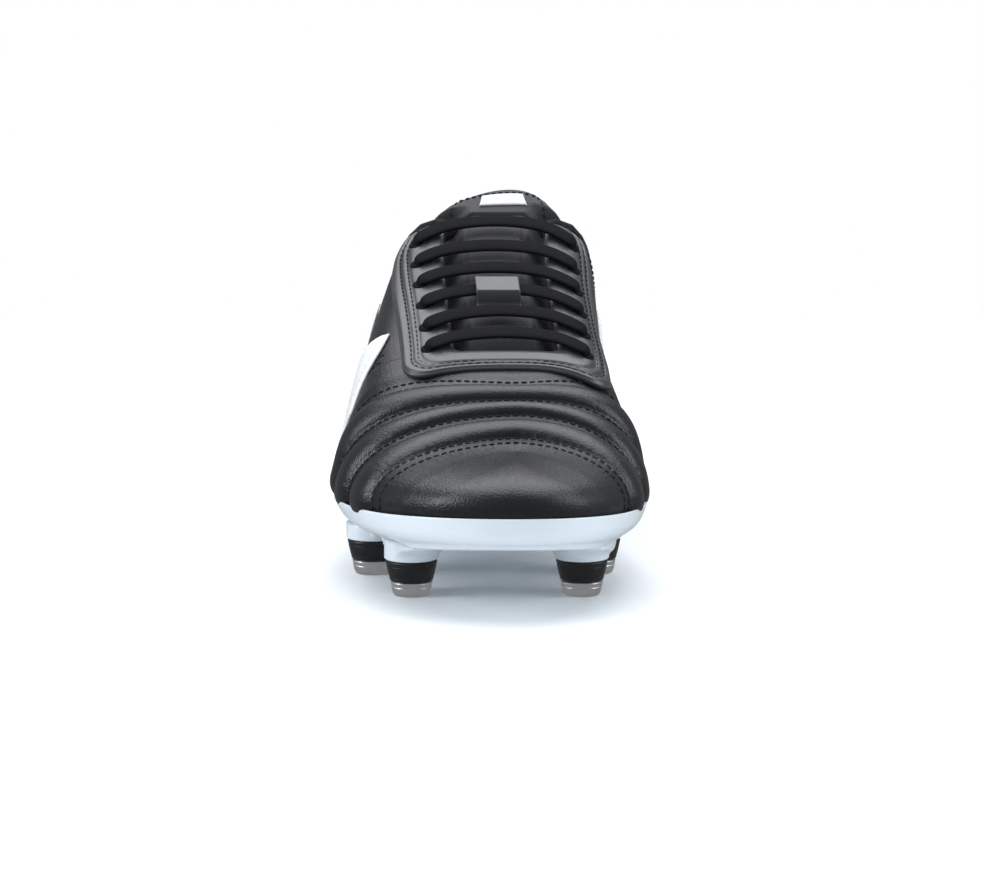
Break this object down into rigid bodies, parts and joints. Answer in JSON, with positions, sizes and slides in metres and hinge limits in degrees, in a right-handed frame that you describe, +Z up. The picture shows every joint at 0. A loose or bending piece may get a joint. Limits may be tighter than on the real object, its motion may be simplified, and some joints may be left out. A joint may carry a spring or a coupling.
{
  "type": "soft-ground football boot",
  "caption": "Right laced football boot with a quilted upper, a fold-over tongue top and a moulded sole with screw-in studs.",
  "frame": {"origin": "on the ground under the middle of the boot's box, measured without its lace", "axes": "+X to the inner (medial) side of the right boot, +Y from the toe to the heel, +Z up"},
  "size_m": [0.1036, 0.29, 0.1224],
  "materials": {
    "outsole_white": "smooth moulded white",
    "stiffener": "pressed fibre board",
    "sockliner": "knitted cover on foam",
    "stud_nylon": "fine moulded satin black",
    "stud_tip_metal": "machined, lightly scratched",
    "stud_steel": "plated steel",
    "band_white": "smooth coated white",
    "upper_leather": "semi-gloss grained black",
    "overlay_leather": "semi-gloss smooth black",
    "lining": "woven black lining",
    "tongue_leather": "matt padded dark grey",
    "label_white": "woven white label",
    "lace_cord": "flat woven black",
    "lace_tip": "clear-coated black"
  },
  "bodies": {
    "boot": {"collar_padding": "lining", "eyestay": "overlay_leather", "heel_counter": "overlay_leather", "heel_stiffener": "stiffener", "insole_board": "stiffener", "lace": "lace_cord", "lace_aglet_first": "lace_tip", "lace_aglet_last": "lace_tip", "lace_keeper": "overlay_leather", "lateral_band_narrow": "band_white", "lateral_band_wide": "band_white", "lateral_lining": "lining", "lateral_quarter": "upper_leather", "medial_band_narrow": "band_white", "medial_band_wide": "band_white", "medial_lining": "lining", "medial_quarter": "upper_leather", "outsole": "outsole_white", "stud_socket_ball_lateral": "stud_steel", "stud_socket_ball_medial": "stud_steel", "stud_socket_front_lateral": "stud_steel", "stud_socket_front_medial": "stud_steel", "stud_socket_heel_lateral": "stud_steel", "stud_socket_heel_medial": "stud_steel", "toe_puff": "stiffener", "tongue": "tongue_leather", "vamp": "upper_leather", "vamp_lining": "lining"},
    "sockliner_lift": {"sockliner": "sockliner"},
    "tongue_top": {"tongue_flap": "tongue_leather", "tongue_label": "label_white"},
    "pin_ball_lateral": {"stud_pin_ball_lateral": "stud_steel"},
    "stud_ball_lateral": {"stud_base_ball_lateral": "stud_nylon", "stud_tip_ball_lateral": "stud_tip_metal"},
    "pin_ball_medial": {"stud_pin_ball_medial": "stud_steel"},
    "stud_ball_medial": {"stud_base_ball_medial": "stud_nylon", "stud_tip_ball_medial": "stud_tip_metal"},
    "pin_front_lateral": {"stud_pin_front_lateral": "stud_steel"},
    "stud_front_lateral": {"stud_base_front_lateral": "stud_nylon", "stud_tip_front_lateral": "stud_tip_metal"},
    "pin_front_medial": {"stud_pin_front_medial": "stud_steel"},
    "stud_front_medial": {"stud_base_front_medial": "stud_nylon", "stud_tip_front_medial": "stud_tip_metal"},
    "pin_heel_lateral": {"stud_pin_heel_lateral": "stud_steel"},
    "stud_heel_lateral": {"stud_base_heel_lateral": "stud_nylon", "stud_tip_heel_lateral": "stud_tip_metal"},
    "pin_heel_medial": {"stud_pin_heel_medial": "stud_steel"},
    "stud_heel_medial": {"stud_base_heel_medial": "stud_nylon", "stud_tip_heel_medial": "stud_tip_metal"}
  },
  "joints": [
    {"name": "sockliner_hinge", "type": "hinge", "parent": "boot", "child": "sockliner_lift", "pos_m": [0, -0.131, 0.022], "axis": [1, 0, 0], "range_deg": [0, 4]},
    {"name": "tongue_fold", "type": "hinge", "parent": "boot", "child": "tongue_top", "pos_m": [0.003, 0.0285, 0.113], "axis": [1, 0, 0], "range_deg": [0, 65]},
    {"name": "stud_ball_lateral_out", "type": "slide", "parent": "boot", "child": "pin_ball_lateral", "axis": [0, 0, -1], "range_m": [0, 0.0048]},
    {"name": "stud_ball_lateral_turn", "type": "hinge", "parent": "pin_ball_lateral", "child": "stud_ball_lateral", "pos_m": [-0.03877, -0.05724, 0.0116], "axis": [0, 0, -1], "range_deg": [0, 2160]},
    {"name": "stud_ball_medial_out", "type": "slide", "parent": "boot", "child": "pin_ball_medial", "axis": [0, 0, -1], "range_m": [0, 0.0048]},
    {"name": "stud_ball_medial_turn", "type": "hinge", "parent": "pin_ball_medial", "child": "stud_ball_medial", "pos_m": [0.03573, -0.05624, 0.0116], "axis": [0, 0, -1], "range_deg": [0, 2160]},
    {"name": "stud_front_lateral_out", "type": "slide", "parent": "boot", "child": "pin_front_lateral", "axis": [0, 0, -1], "range_m": [0, 0.0048]},
    {"name": "stud_front_lateral_turn", "type": "hinge", "parent": "pin_front_lateral", "child": "stud_front_lateral", "pos_m": [-0.02477, -0.09524, 0.0116], "axis": [0, 0, -1], "range_deg": [0, 2160]},
    {"name": "stud_front_medial_out", "type": "slide", "parent": "boot", "child": "pin_front_medial", "axis": [0, 0, -1], "range_m": [0, 0.0048]},
    {"name": "stud_front_medial_turn", "type": "hinge", "parent": "pin_front_medial", "child": "stud_front_medial", "pos_m": [0.03023, -0.09424, 0.0116], "axis": [0, 0, -1], "range_deg": [0, 2160]},
    {"name": "stud_heel_lateral_out", "type": "slide", "parent": "boot", "child": "pin_heel_lateral", "axis": [0, 0, -1], "range_m": [0, 0.0048]},
    {"name": "stud_heel_lateral_turn", "type": "hinge", "parent": "pin_heel_lateral", "child": "stud_heel_lateral", "pos_m": [-0.01477, 0.09776, 0.0146], "axis": [0, 0, -1], "range_deg": [0, 2160]},
    {"name": "stud_heel_medial_out", "type": "slide", "parent": "boot", "child": "pin_heel_medial", "axis": [0, 0, -1], "range_m": [0, 0.0048]},
    {"name": "stud_heel_medial_turn", "type": "hinge", "parent": "pin_heel_medial", "child": "stud_heel_medial", "pos_m": [0.02223, 0.09776, 0.0146], "axis": [0, 0, -1], "range_deg": [0, 2160]}
  ],
  "couplings": [
    {"joint": "stud_ball_lateral_turn", "follows": "stud_ball_lateral_out", "rad_per_m": 7853.9},
    {"joint": "stud_ball_medial_turn", "follows": "stud_ball_medial_out", "rad_per_m": 7853.9},
    {"joint": "stud_front_lateral_turn", "follows": "stud_front_lateral_out", "rad_per_m": 7853.9},
    {"joint": "stud_front_medial_turn", "follows": "stud_front_medial_out", "rad_per_m": 7853.9},
    {"joint": "stud_heel_lateral_turn", "follows": "stud_heel_lateral_out", "rad_per_m": 7853.9},
    {"joint": "stud_heel_medial_turn", "follows": "stud_heel_medial_out", "rad_per_m": 7853.9}
  ]
}
